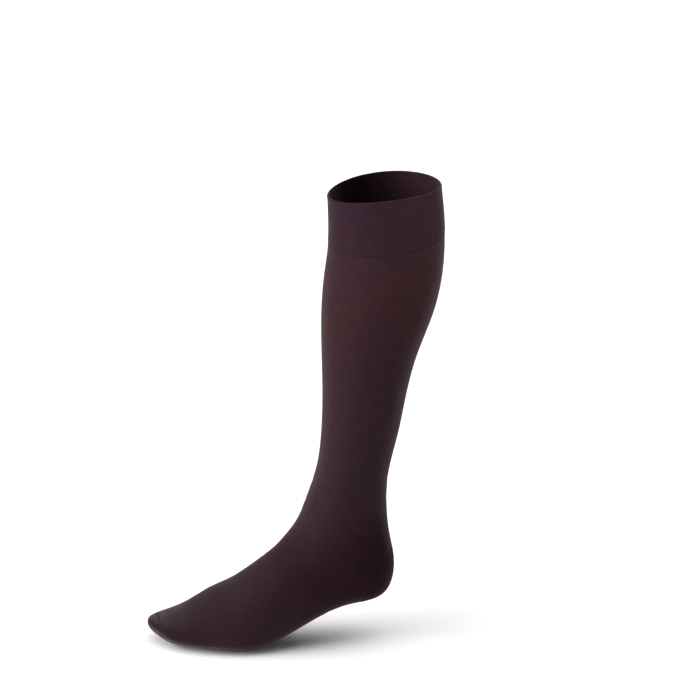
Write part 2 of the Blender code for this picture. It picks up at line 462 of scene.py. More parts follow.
def grain(tree: Tree, size: float, detail: float) -> dict[str, object]:
    """What a noise needs for patches about that many millimetres across, with that much detail."""
    where = add_node(tree, "ShaderNodeTexCoord").outputs["Object"]
    return {"Vector": where, "Scale": 1 / (size * MM), "Detail": detail}


MATH = "ShaderNodeMath"
VECTOR_MATH = "ShaderNodeVectorMath"
NOISE = "ShaderNodeTexNoise"
MIX = "ShaderNodeMix"  # of colours: inputs 0, 6 and 7 are share, from and to, output 2 the colour


class KnitFace(Enum):
    """The side of a plain knit that a finish shows."""

    RIGHT = "columns of V-shaped stitches"
    REVERSE = "rows of round purl bumps"


@dataclass(frozen=True)
class MicrofibreKnit:
    """Polyamide microfibre over elastane, circular-knitted fine and dyed a very dark plum.

    The yarn is a bundle of dozens of hair-fine matte filaments. The surface has no gloss and a soft
    nap, which catches light where the cloth turns away and draws a paler edge round the leg. Where
    the knit is stretched its stitches open, and it looks warmer.

    closed and opened are the sRGB colours of the knit at rest and at its most stretched. relief is
    the height of a stitch in millimetres and mottle the share by which the colour wanders.
    """

    name: str
    closed: str
    opened: str
    face: KnitFace = KnitFace.RIGHT
    roughness: float = 0.82
    specular: float = 0.05
    sheen: float = 0.3
    sheen_roughness: float = 0.22
    sheen_tint: str = "#E6D8DC"
    relief: float = 0.16
    mottle: float = 0.4

    WALE_MAP = "wales"  # the UV map that counts wales round the leg and courses along it
    OPEN = "open"  # the attribute that says how far the knit is stretched
    TONE_AND_PAINTED_LIGHT = "tone_and_painted_light"  # the attribute that says how light it looks, painted light and shade included
    DEEP = "#120105"  # the colour at a lightness of 0, the deepest painted shade: the dye alone, nearly black
    # Each grain is the patches' size in mm and the noise's detail.
    MOTTLE_GRAIN = 6.0, 3.0  # tighter and looser knit
    DRIFT_GRAIN = 12.0, 2.0  # yarn with a cooler and a warmer dye
    DRIFT = (0.96, 1.0, 1.09), (1.04, 1.0, 0.92)  # their tints
    DRIFT_CONTRAST = 3.0  # how sharply the two tints part
    SPECK_GRAIN = 2.2, 1.0  # places where a few filaments stand up and catch the light
    SPECK_FROM, SPECK_TO, SPECK_BLEND = 0.6, 0.75, 0.02  # the noise of a speck: least, most, softness
    NAP_GRAIN = 0.7, 2.0  # tufts of loose filaments, far coarser than real ones, or none would show
    NAP_HEIGHT = 0.35  # a tuft's height, as a share of a stitch's
    NAP_ROUGHNESS = 0.12  # how far the roughness wanders with the nap, from least to most
    GROUND = 0.94  # how light the gaps between the stitches are on average
    YARN_LIGHT = 0.12  # how much lighter the yarn is than the gaps: the painted shade in the gaps
    PURL_SWAY = 0.22  # how far a purl row sways to each side, in courses
    LEG_RISE = 0.5  # how far a stitch's leg runs up from the middle of its wale, in courses
    LEG_DIP = 0.3  # half of how far it dips between courses, as a share of its height

    def material(self) -> bpy.types.Material:
        """Makes the material.

        Returns:
            A material with the knit's colour, nap and stitches.
        """
        material, tree, shader = new_material(self.name)
        stitch = self._stitch(tree)
        patches = add_node(tree, NOISE, grain(tree, *self.MOTTLE_GRAIN))
        nap = add_node(tree, NOISE, grain(tree, *self.NAP_GRAIN))
        least = self.roughness - self.NAP_ROUGHNESS / 2
        rough = add_node(tree, MATH, (nap, self.NAP_ROUGHNESS, least), operation="MULTIPLY_ADD")
        inputs = {
            "Base Color": self._colour(tree, stitch, patches, nap),
            "Metallic": 0.0,
            "Roughness": rough,
            "Normal": self._bump(tree, stitch, nap),
            "Specular IOR Level": self.specular,
            "Sheen Weight": self.sheen,
            "Sheen Roughness": self.sheen_roughness,
            "Sheen Tint": linear(self.sheen_tint),
        }
        fill(tree, shader, inputs)
        return material

    def _stitch(self, tree: Tree) -> Node:
        """Draws the stitches on the wale map.

        Args:
            tree: the material's node tree.

        Returns:
            The node of their height, from 0 in the gaps to 1 on the yarn.
        """
        counted = add_node(tree, "ShaderNodeUVMap", uv_map=self.WALE_MAP)
        parts = add_node(tree, "ShaderNodeSeparateXYZ", (counted,))
        wale, course = parts.outputs["X"], parts.outputs["Y"]
        across = add_node(tree, MATH, (wale,), operation="FRACT")
        angle = add_node(tree, MATH, (across, 2 * pi), operation="MULTIPLY")
        if self.face is KnitFace.REVERSE:
            sway = add_node(tree, MATH, (angle,), operation="COSINE")
            phase = add_node(tree, MATH, (sway, self.PURL_SWAY, course), operation="MULTIPLY_ADD")
            phase = add_node(tree, MATH, (phase, 2 * pi), operation="MULTIPLY")
            row = add_node(tree, MATH, (phase,), operation="COSINE")
            return add_node(tree, MATH, (row, 0.5, 0.5), operation="MULTIPLY_ADD")
        # Each wale has two legs of yarn that lean out from its middle like a V.
        legs = add_node(tree, MATH, (angle,), operation="SINE")
        legs = add_node(tree, MATH, (legs,), operation="ABSOLUTE")
        aside = add_node(tree, MATH, (across, 2.0, -1.0), operation="MULTIPLY_ADD")
        aside = add_node(tree, MATH, (aside,), operation="ABSOLUTE")
        phase = add_node(tree, MATH, (aside, self.LEG_RISE, course), operation="MULTIPLY_ADD")
        phase = add_node(tree, MATH, (phase, 2 * pi), operation="MULTIPLY")
        lean = add_node(tree, MATH, (phase,), operation="COSINE")
        dip = (lean, self.LEG_DIP, 1 - self.LEG_DIP)
        height = add_node(tree, MATH, dip, operation="MULTIPLY_ADD")
        return add_node(tree, MATH, (legs, height), operation="MULTIPLY")

    def _colour(self, tree: Tree, stitch: Node, patches: Node, nap: Node) -> Node:
        """Mixes the knit's colour.

        Args:
            tree: the material's node tree.
            stitch: the height of the stitches.
            patches: the noise of tighter and looser knit.
            nap: the noise of the nap.

        Returns:
            The node of the colour, from how open the knit is, its lightness with painted light and
            shade, its patches, its gaps with their painted shade and its nap.
        """
        opened = add_node(tree, "ShaderNodeAttribute", attribute_name=self.OPEN).outputs["Fac"]
        inputs = {0: opened, 6: linear(self.closed), 7: linear(self.opened)}
        base = add_node(tree, MIX, inputs, data_type="RGBA", clamp_factor=True)
        # The lightness attribute holds painted light and shade as well as the knit's own lightness.
        tone_and_painted_light = add_node(tree, "ShaderNodeAttribute", attribute_name=self.TONE_AND_PAINTED_LIGHT).outputs["Fac"]
        inputs = {0: tone_and_painted_light, 6: linear(self.DEEP), 7: base.outputs[2]}
        toned_and_painted = add_node(tree, MIX, inputs, data_type="RGBA", clamp_factor=False)
        # Yarns of slightly different dye lie side by side, so the hue drifts.
        drift = add_node(tree, NOISE, grain(tree, *self.DRIFT_GRAIN))
        parted = (drift, self.DRIFT_CONTRAST, (1 - self.DRIFT_CONTRAST) / 2)
        share = add_node(tree, MATH, parted, operation="MULTIPLY_ADD")
        cool, warm = self.DRIFT
        inputs = {0: share, 6: (*cool, 1.0), 7: (*warm, 1.0)}
        tint = add_node(tree, MIX, inputs, data_type="RGBA", clamp_factor=True)
        colours = (toned_and_painted.outputs[2], tint.outputs[2])
        tinted = add_node(tree, VECTOR_MATH, colours, operation="MULTIPLY")
        specks = add_node(tree, NOISE, grain(tree, *self.SPECK_GRAIN))
        specks = add_node(tree, MATH, (specks, self.SPECK_FROM), operation="MAXIMUM")
        capped = (specks, self.SPECK_TO, self.SPECK_BLEND)
        specks = add_node(tree, MATH, capped, operation="SMOOTH_MIN")
        specks = add_node(tree, MATH, (specks, self.SPECK_FROM), operation="SUBTRACT")
        wander = add_node(tree, MATH, (patches, nap), operation="ADD")
        mottled = (wander, self.mottle, self.GROUND - self.mottle)
        shade = add_node(tree, MATH, mottled, operation="MULTIPLY_ADD")
        # The gaps between the stitches are painted darker than the yarn: painted shade in them.
        shade = add_node(tree, MATH, (stitch, self.YARN_LIGHT, shade), operation="MULTIPLY_ADD")
        shade = add_node(tree, MATH, (shade, specks), operation="ADD")
        scale = {0: tinted, "Scale": shade}
        return add_node(tree, VECTOR_MATH, scale, operation="SCALE")

    def _bump(self, tree: Tree, stitch: Node, nap: Node) -> Node:
        """Raises the stitches and the nap.

        Args:
            tree: the material's node tree.
            stitch: the height of the stitches.
            nap: the noise of the nap.

        Returns:
            The node of the normal that they give.
        """
        height = add_node(tree, MATH, (nap, self.NAP_HEIGHT, stitch), operation="MULTIPLY_ADD")
        inputs = {"Height": height, "Distance": self.relief * MM, "Strength": 1.0}
        return add_node(tree, "ShaderNodeBump", inputs)


LEG_KNIT = MicrofibreKnit("leg_microfibre", "#2C1E24", "#301C20")
BAND_KNIT = MicrofibreKnit("band_microfibre", "#2B1A23", "#2C1B1F", sheen=0.27, relief=0.12)
HEEL_KNIT = MicrofibreKnit("heel_microfibre", "#2E1D24", "#2E1D24", roughness=0.86, sheen=0.15)
TOE_KNIT = MicrofibreKnit("toe_microfibre", "#2B1D25", "#332728", roughness=0.86, sheen=0.4)
REVERSE_KNIT = MicrofibreKnit(
    "inside_microfibre", "#22141A", "#261519", KnitFace.REVERSE, relief=0.22
)


# ---- Knitted zones ----


@dataclass
class ShellGrid:
    """A zone's shell before it is a mesh, with an array row for each row of its vertices.

    place and turn are on the stocking's form. outer and inner are the distances of its two faces
    from that form, in millimetres, outwards. The last is painted shade: the share by which the knit
    is painted darker where it dips at its borders.
    """

    place: Grid
    turn: Grid
    outer: Grid
    inner: Grid
    dense: Grid


@dataclass
class KnitZone:
    """One zone of the stocking: a thin closed shell of knit on the form of its solid.

    wall is the cloth's thickness in millimetres, and course the spacing of the mesh's rows on the
    ring scale. girth_kept and length_kept are the shares of its worn girth and length that the zone
    has when it is off the leg, as knitted.
    """

    form: StockingForm
    piece: str
    node: str
    slot: str
    right: MicrofibreKnit
    wall: float
    reverse: MicrofibreKnit = REVERSE_KNIT
    course: float = 2.0
    columns: int = 176
    girth_kept: float = 0.74
    length_kept: float = 0.96
    link: list[bpy.types.Object] = field(default_factory=list)

    WALES = 180  # wales round the leg: half of about 360 real ones, or none would show
    COURSE_SIZE = 1.3  # ring scale: about three real courses of 0.45 mm, or none would show
    # In mm on leg, foot and band, and on the ring scale on heel pocket and toe cap.
    EDGE_STEPS = (0.0, 0.12, 0.28, 0.5, 0.8, 1.2)  # from a border, where the rows crowd
    EDGE_WIDTH = 1.2  # over which the shell rounds off to its border
    HEEL_DIP = 0.08  # mm by which the knit dips at the heel pocket's borders
    DIP_EASE = 4.0  # how soon that dip is full, from the pocket's two ends
    CUT_ROWS = 81  # rows over which a zone's cut is measured
    SHARP = radians(50)  # the angle from which an edge is a rim and isn't smoothed
    MERGE = 1e-6  # metres
    # How far the knit's colour goes from closed to opened, from 0 to 1.
    OPENNESS = (
        ("top_edge", 0.0),
        ("band_line", 0.45),
        ("calf", 0.9),
        ("calf_low", 0.9),
        ("shin", 0.5),
        ("shin_low", 0.3),
        ("ankle", 0.2),
        ("heel_back", 0.5),
        ("arch", 0.2),
        ("toes", 0.1),
        ("toe_front", 0.3),
        ("toe_nose", 0.9),
    )
    # How light it looks, all round: partly the knit's own lightness, partly painted light and shade.
    # The tables after it change that.
    TONES_AND_PAINTED_LIGHT = (
        ("top_edge", 0.95),
        ("band_line", 0.93),
        ("calf", 1.0),
        ("shin", 0.97),
        ("ankle", 1.06),
        ("heel_top", 0.98),
        ("heel_corner", 0.78),
        ("arch", 0.94),
        ("ball", 0.9),
        ("toe_root", 0.75),
        ("toe_front", 0.57),
        ("toe_end", 0.5),
    )
    # Painted shade on the flanks of heel and tendon: how much darker it looks there, and how far from
    # the back that is most so, in degrees.
    PAINTED_HEEL_SHADE = (
        ("ankle_low", 0.0),
        ("heel_top", 0.56),
        ("heel_back", 0.58),
        ("heel_corner", 0.44),
        ("heel_base", 0.42),
        ("arch", 0.3),
        ("waist", 0.2),
        ("ball", 0.1),
        ("toe_root", 0.0),
    )
    PAINTED_HEEL_SHADE_ASIDE = (("ankle_low", 35.0), ("heel_top", 42.0), ("heel_back", 62.0), ("heel_base", 84.0))
    PAINTED_HEEL_SHADE_WIDTH = 50.0  # degrees over which it fades
    # Painted light under the foot: how much lighter it looks there.
    PAINTED_SOLE_LIGHT = (
        ("heel_base", 0.0),
        ("waist", 0.55),
        ("ball", 0.05),
        ("toe_root", 0.5),
        ("toe_front", 0.95),
        ("toe_end", 0.3),
    )
    PAINTED_SOLE_LIGHT_FROM = 86.0  # degrees from the middle of the sole, where that begins
    PAINTED_SOLE_LIGHT_FADE = 22.0  # degrees over which it comes in
    # Painted light behind the middle of each side, on band and calf: how much lighter and more open
    # it looks there.
    PAINTED_SIDE_LIGHT = (
        ("top_edge", 0.9),
        ("band_line", 0.75),
        ("calf", 0.38),
        ("calf_low", 0.1),
        ("shin", 0.0),
    )
    PAINTED_SIDE_LIGHT_AT = 126.0  # degrees from the front, where it is most so
    PAINTED_SIDE_LIGHT_WIDTH = 34.0  # degrees over which it fades

    def turns(self) -> Grid:
        """The turns of its columns, the first and last of them on one line at the back."""
        return np.linspace(-pi, pi, self.columns + 1)

    def borders(self, turn: Grid) -> tuple[Grid, Grid]:
        """Its upper and lower border, as places for each turn."""
        raise NotImplementedError

    def drops(self, turn: Grid) -> tuple[Grid, Grid]:
        """How far a tube's outer face sinks at its upper and lower border, in millimetres."""
        raise NotImplementedError

    def grid(self) -> ShellGrid:
        """Lays out the shell.

        Returns:
            Its grid, with rows crowded at both borders.
        """
        turn = self.turns()[None, :]
        start, end = self.borders(turn)
        steps = np.array(self.EDGE_STEPS)[:, None]
        top = start + steps / self.form.stretch(start, turn)
        bottom = end - steps[::-1] / self.form.stretch(end, turn)
        longest = float(np.max(bottom[0] - top[-1]))
        share = np.linspace(0.0, 1.0, max(2, round(longest / self.course)) + 1)[1:-1, None]
        middle = top[-1:] * (1 - share) + bottom[:1] * share
        place = np.vstack([top, middle, bottom])
        turn = np.broadcast_to(turn, place.shape)
        drop_top, drop_bottom = self.drops(turn[:1])
        from_top = (place - start) * self.form.stretch(start, turn[:1])
        from_bottom = (end - place) * self.form.stretch(end, turn[:1])
        near_top = fade(from_top, self.EDGE_WIDTH)
        drop = near_top * drop_top + fade(from_bottom, self.EDGE_WIDTH) * drop_bottom
        crease = self.form.crease_depth(place, turn)
        # The dip also sets the painted shade along the borders.
        return ShellGrid(place, turn, -drop - crease, -self.wall - crease, drop)

    def heel_dip(self, turn: Grid) -> Grid:
        """How far a tube dips where the heel pocket follows it, in millimetres: only behind."""
        return self.HEEL_DIP * np.minimum(self.form.heel_bow(turn) * self.DIP_EASE, 1.0)

    def along(self, table: tuple[tuple[str, float], ...], place: Grid) -> Grid:
        """A value at each place, from a table of values at some rings."""
        names, values = zip(*table)
        return np.interp(place, [self.form.place[name] for name in names], values)

    def painted_side_light(self, place: Grid, turn: Grid) -> Grid:
        """Painted light on band and calf, behind the middle of each side, which also opens the
        colour.

        Args:
            place: places on the ring scale.
            turn: turns round the leg, in radians.

        Returns:
            How much lighter and more open it looks there, near 0 where it doesn't.
        """
        from_front = 180 - self.from_back(turn)
        off = (from_front - self.PAINTED_SIDE_LIGHT_AT) / self.PAINTED_SIDE_LIGHT_WIDTH
        return self.along(self.PAINTED_SIDE_LIGHT, place) * np.exp(-(off**2))

    def from_back(self, turn: Grid) -> Grid:
        """How far a turn is from the back of the leg or the middle of the sole, in degrees."""
        return np.degrees(np.abs(np.abs(turn) % (2 * pi) - pi))

    def tone_and_painted_light(self, place: Grid, turn: Grid) -> Grid:
        """How light the knit looks, with painted light and shade.

        Args:
            place: places on the ring scale.
            turn: turns round the leg, in radians.

        Returns:
            Its lightness with the painted light and shade, 1 for the finish's own colour.
        """
        from_back = self.from_back(turn)
        # Painted shade on the flanks of heel and tendon.
        off = (from_back - self.along(self.PAINTED_HEEL_SHADE_ASIDE, place)) / self.PAINTED_HEEL_SHADE_WIDTH
        shade = self.along(self.PAINTED_HEEL_SHADE, place) * np.exp(-(off**2))
        # Painted light under the foot.
        under = np.clip((self.PAINTED_SOLE_LIGHT_FROM - from_back) / self.PAINTED_SOLE_LIGHT_FADE, 0.0, 1.0)
        painted_sole_light = self.along(self.PAINTED_SOLE_LIGHT, place) * under**2 * (3 - 2 * under)
        # Painted light under the sole and at the sides of band and calf.
        lighter = 1 + painted_sole_light + self.painted_side_light(place, turn)
        # The knit's own lightness, with the painted shade and painted light of the tables.
        return self.along(self.TONES_AND_PAINTED_LIGHT, place) * (1 - shade) * lighter

    def build(self) -> bpy.types.Object:
        """Makes the shell's mesh, with its wale map and its attributes.

        Returns:
            The zone's object.
        """
        grid = self.grid()
        rows, columns = grid.place.shape
        points = self.form.surface(grid.place, grid.turn)
        normals = self.form.outward(grid.place, grid.turn)
        sides = [
            (points + normals * offset[..., None]) * MM for offset in (grid.outer, grid.inner)
        ]
        vertices = np.concatenate([side.reshape(-1, 3) for side in sides])
        number = np.arange(rows * columns).reshape(rows, columns)
        quads, reverse = self._quads(number, rows * columns)
        wale = (grid.turn + pi) / (2 * pi) * self.WALES
        course = grid.place / self.COURSE_SIZE
        counted = np.stack([wale, course], axis=-1).reshape(-1, 2)
        counted = np.concatenate([counted, counted])
        mesh = bpy.data.meshes.new(self.piece)
        mesh.from_pydata(vertices.tolist(), [], quads.tolist())
        mesh.polygons.foreach_set("material_index", reverse.astype(np.int32))
        wales = mesh.uv_layers.new(name=MicrofibreKnit.WALE_MAP)
        wales.uv.foreach_set("vector", counted[quads.ravel()].astype(np.float32).ravel())
        # The painted side light also makes the colour more open there.
        openness = self.along(self.OPENNESS, grid.place) + self.painted_side_light(grid.place, grid.turn)
        # Painted shade along the border dips darkens it further.
        tone_and_painted_light = self.tone_and_painted_light(grid.place, grid.turn) * (1 - grid.dense)
        looks = {MicrofibreKnit.OPEN: np.minimum(openness, 1.0), MicrofibreKnit.TONE_AND_PAINTED_LIGHT: tone_and_painted_light}
        for name, values in looks.items():
            both_sides = np.tile(values.ravel().astype(np.float32), 2)
            mesh.attributes.new(name, "FLOAT", "POINT").data.foreach_set("value", both_sides)
        # The line at the back, and what has shrunk to a point, are one vertex each.
        finish_mesh(mesh, merge=self.MERGE)
        mesh.set_sharp_from_angle(angle=self.SHARP)
        return add_object(self.piece, mesh)

    def _quads(self, number: Grid, inner: int) -> tuple[Grid, Grid]:
        """The faces of both sides and of the rims between them.

        Args:
            number: the outer side's vertex numbers, as a grid.
            inner: how much higher a vertex's number is on the inner side.

        Returns:
            The faces' corners, and which faces show the knit's reverse.
        """
        a, b = number[:-1, :-1].ravel(), number[1:, :-1].ravel()
        c, d = number[1:, 1:].ravel(), number[:-1, 1:].ravel()
        outside = np.stack([a, b, c, d], axis=1)
        inside = outside[:, ::-1] + inner
        rims = []
        edges = ((number[0], 1), (number[-1], -1), (number[:, 0], -1), (number[:, -1], 1))
        for line, order in edges:
            rim = np.stack([line[:-1], line[1:], line[1:] + inner, line[:-1] + inner], axis=1)
            rims.append(rim[:, ::order])
        if self.wraps():
            del rims[2:]
        quads = np.concatenate([outside, inside, *rims])
        reverse = np.zeros(len(quads), bool)
        reverse[len(outside) : len(outside) + len(inside)] = True
        return quads, reverse

    def wraps(self) -> bool:
        """Whether the zone runs all round the leg."""
        return True

    def dress(self, zone: bpy.types.Object, materials: Materials) -> None:
        """Gives the shell its two materials, right side and reverse."""
        for finish in (self.right, self.reverse):
            zone.data.materials.append(materials[finish.name])

    def cut(self) -> tuple[tuple[float, float], float]:
        """The zone's size as knitted, off the leg.

        Returns:
            Its widest girth and its length, and its area, in metres.
        """
        turn = self.turns()[None, :]
        start, end = self.borders(turn)
        share = np.linspace(0.0, 1.0, self.CUT_ROWS)[:, None]
        place = start * (1 - share) + end * share
        points = self.form.surface(place, turn)
        across, along = np.diff(points, axis=1)[:-1], np.diff(points, axis=0)[:, :-1]
        area = np.linalg.norm(np.cross(across, along), axis=-1).sum() * MM**2
        girth = np.linalg.norm(np.diff(points, axis=1), axis=-1).sum(axis=1).max() * MM
        length = np.linalg.norm(along, axis=-1).sum(axis=0).max() * MM
        kept = self.girth_kept * self.length_kept
        return (girth * self.girth_kept, length * self.length_kept), area * kept

    def declare(self, zone: bpy.types.Object) -> None:
        """Sets the shell on its body, hides the solid that it stands for and works out how large it
        was knitted.

        Args:
            zone: the shell's object.
        """
        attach(zone, BODY)
        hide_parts(self.node)
        flat, area = self.cut()

    def make(self, materials: Materials) -> bpy.types.Object:
        """Args:
            materials: every material by its name.

        Returns:
            The zone's object.
        """
        zone = self.build()
        self.dress(zone, materials)
        self.declare(zone)
        report(zone)
        return zone


@dataclass
class TopBand(KnitZone):
    """The band: knit turned over on itself at the top edge, so two layers with a rounded fold."""

    proud: float = 0.4  # mm by which it stands out of the form
    fold_rows: int = 9
    roll: float = 0.18  # mm by which the fold is fuller than the band
    roll_height: float = 3.0  # ring scale, from the top edge to where that ends
    lower_round: float = 2.6  # ring scale, from the lower edge to where it starts to round off

    TUCK = 0.1  # mm by which its lower edge goes below the form
    INNER_TUCK = 0.2  # mm by which that edge thins from inside
    INNER_ROLL = 0.5  # the fold's fullness inside, as a share of that outside

    def borders(self, turn: Grid) -> tuple[Grid, Grid]:
        """From the top edge to the line where the turned end is linked to the leg."""
        return np.full_like(turn, self.wall / 2), np.full_like(turn, self.form.place["band_line"])

    def grid(self) -> ShellGrid:
        """Lays out the band.

        Returns:
            Its two layers, the fold over the top and the rounded lower edge.
        """
        turn = self.turns()[None, :]
        radius = self.wall / 2
        start, end = self.borders(turn)
        steps = np.array(self.EDGE_STEPS)[::-1, None]
        bottom = end - steps / self.form.stretch(end, turn)
        share = np.linspace(0.0, 1.0, round(float(end.max()) / self.course) + 1)[:-1, None]
        sheet = start * (1 - share) + bottom[:1] * share
        angle = np.linspace(pi / 2, 0.0, self.fold_rows + 1)[:-1, None]
        fold = start - radius * np.sin(angle)
        place = np.vstack([fold, sheet, bottom])
        half = np.vstack([radius * np.cos(angle), np.full((len(sheet) + len(bottom), 1), radius)])
        low = fade(end - place, self.lower_round)
        lift = fade(np.maximum(place - start, 0.0), self.roll_height)
        turn = np.broadcast_to(turn, place.shape)
        middle = self.proud - radius
        rounded = half / radius * self.roll * lift
        outer = middle + half + rounded - low * (self.proud + self.TUCK)
        inner = middle - half - rounded * self.INNER_ROLL + low * self.INNER_TUCK
        return ShellGrid(place, turn, outer, inner, np.zeros_like(place))


@dataclass
class Leg(KnitZone):
    """The leg's tube, from the band down to the heel pocket behind and the foot in front."""

    BAND_DIP = 0.1  # mm by which it dips under the band

    def borders(self, turn: Grid) -> tuple[Grid, Grid]:
        """From the band's line to the heel pocket and the foot."""
        return np.full_like(turn, self.form.place["band_line"]), self.form.heel_upper(turn)

    def drops(self, turn: Grid) -> tuple[Grid, Grid]:
        """It dips under the band all round, and at the heel pocket only behind."""
        return np.full_like(turn, self.BAND_DIP), self.heel_dip(turn)


@dataclass
class HeelPocket(KnitZone):
    """The heel's pouch, knitted to and fro in a denser yarn, with a pointed end at each side.

    proud is how far its middle stands out of the form, in millimetres.
    """

    proud: float = 0.12

    SWELL_WIDTH = 4.0  # ring scale, from its borders to where it has swelled to that
    LEAST_LENGTH = 1e-9  # ring scale, in place of the 0 at its two ends

    def turns(self) -> Grid:
        """Round the back only."""
        reach = self.form.HEEL_HALF_SPAN
        return pi + np.linspace(-reach, reach, self.columns + 1)

    def wraps(self) -> bool:
        """The pocket ends at each side."""
        return False

    def borders(self, turn: Grid) -> tuple[Grid, Grid]:
        """The leg's lower border and the foot's upper one.

        Args:
            turn: turns round the leg, in radians, the pocket's two ends first and last.

        Returns:
            The two borders' places, which meet at the pocket's ends.
        """
        turn = turn - 2 * pi * (turn > pi)
        start, end = self.form.heel_upper(turn), self.form.heel_lower(turn)
        ends = [0, -1]
        start[:, ends] = end[:, ends] = self.form.heel_middle()
        return start, end

    def grid(self) -> ShellGrid:
        """Lays out the pouch.

        Returns:
            Its grid, whose borders meet at its two ends.
        """
        turn = self.turns()[None, :]
        start, end = self.borders(turn)
        length = end - start
        steps = np.array(self.EDGE_STEPS)[:, None]
        rows = round(float(length.max()) / self.course)
        # Near its two ends the crowded rows of both borders share the little length there is.
        length_there = np.maximum(length, self.LEAST_LENGTH)
        crowd = np.minimum(steps / length_there, 0.5 * steps / steps[-1])
        share = np.linspace(0.0, 1.0, rows + 1)[1:-1, None]
        inside = crowd[-1:] * (1 - share) + (1 - crowd[-1:]) * share
        share = np.vstack([crowd, inside, 1 - crowd[::-1]])
        place = start + length * share
        turn = np.broadcast_to(turn, place.shape)
        nearest = np.minimum(place - start, end - place)
        near = fade(nearest, self.EDGE_WIDTH)
        swell = self.proud * np.clip(nearest / self.SWELL_WIDTH, 0.0, 1.0)
        crease = self.form.crease_depth(place, turn)
        drop = near * self.HEEL_DIP
        # The dip also sets the painted shade along the borders.
        return ShellGrid(place, turn, swell - drop - crease, -self.wall - crease, drop)


@dataclass
class Foot(KnitZone):
    """The foot's tube: instep and sole in one, from the heel pocket to the toe cap."""

    TOE_DIP = 0.04  # mm by which it dips at the toe cap

    def borders(self, turn: Grid) -> tuple[Grid, Grid]:
        """From the heel pocket and the leg to the toe cap."""
        return self.form.heel_lower(turn), np.full_like(turn, self.form.toe_line)

    def drops(self, turn: Grid) -> tuple[Grid, Grid]:
        """It dips at the heel pocket, and a little at the toe cap."""
        return self.heel_dip(turn), np.full_like(turn, self.TOE_DIP)


@dataclass
class ToeCap(KnitZone):
    """The toe cap, in a denser yarn, rounded off to a point at the toe tip."""

    FOOT_DIP = 0.06  # mm by which it dips at the foot
    ROW_SIZE = 1.1  # ring scale, the rows' mean spacing

    def borders(self, turn: Grid) -> tuple[Grid, Grid]:
        """From the foot to the toe tip."""
        return np.full_like(turn, self.form.toe_line), np.full_like(turn, self.form.tip)

    def grid(self) -> ShellGrid:
        """Lays out the cap.

        Returns:
            Its grid, with rows closer together towards the tip.
        """
        turn = self.turns()[None, :]
        start, end = self.borders(turn)
        steps = np.array(self.EDGE_STEPS)[:, None]
        top = start + steps
        rows = round(self.form.TOE_CAP_LENGTH / self.ROW_SIZE)
        share = np.sin(np.linspace(0.0, pi / 2, rows))[1:, None]
        place = np.vstack([top, top[-1:] * (1 - share) + end * share])
        turn = np.broadcast_to(turn, place.shape)
        near = fade(place - start, self.EDGE_WIDTH)
        crease = self.form.crease_depth(place, turn)
        drop = near * self.FOOT_DIP
        # The dip also sets the painted shade along the borders.
        return ShellGrid(place, turn, -drop - crease, -self.wall - crease, drop)


# ---- Linked rows ----


@dataclass(frozen=True)
class YarnLoop:
    """One loop of yarn, as it lies on the knit: a drop-shaped link, in millimetres.

    width is across the row it stands in, length along its own axis and yarn the yarn's thickness.
    narrow is the share of its width that is left at its lower end.
    """

    width: float
    length: float
    yarn: float
    narrow: float = 0.45
    around: int = 14
    section: int = 6

    def shape(self) -> tuple[Grid, Grid]:
        """Models the loop flat on the XY plane.

        Returns:
            Its vertices in millimetres, and its faces.
        """
        bpy.ops.object.select_all(action="DESELECT")
        bpy.ops.mesh.primitive_torus_add(
            major_segments=self.around,
            minor_segments=self.section,
            major_radius=(self.width - self.yarn) / 2 * MM,
            minor_radius=self.yarn / 2 * MM,
        )
        loop = bpy.context.object
        bpy.ops.object.mode_set(mode="EDIT")
        bpy.ops.transform.resize(value=(1.0, self.length / self.width, 1.0))
        # Its lower third is drawn in.
        work = bmesh.from_edit_mesh(loop.data)
        for vertex in work.verts:
            vertex.select = vertex.co.y < -self.length / 6 * MM
        work.select_flush_mode()
        bmesh.update_edit_mesh(loop.data)
        bpy.ops.transform.resize(value=(self.narrow, 1.0, 1.0))
        bpy.ops.object.mode_set(mode="OBJECT")
        corners = np.array([vertex.co for vertex in loop.data.vertices]) / MM
        faces = np.array([tuple(face.vertices) for face in loop.data.polygons])
        used = loop.data
        bpy.data.objects.remove(loop)
        bpy.data.meshes.remove(used)
        return corners, faces


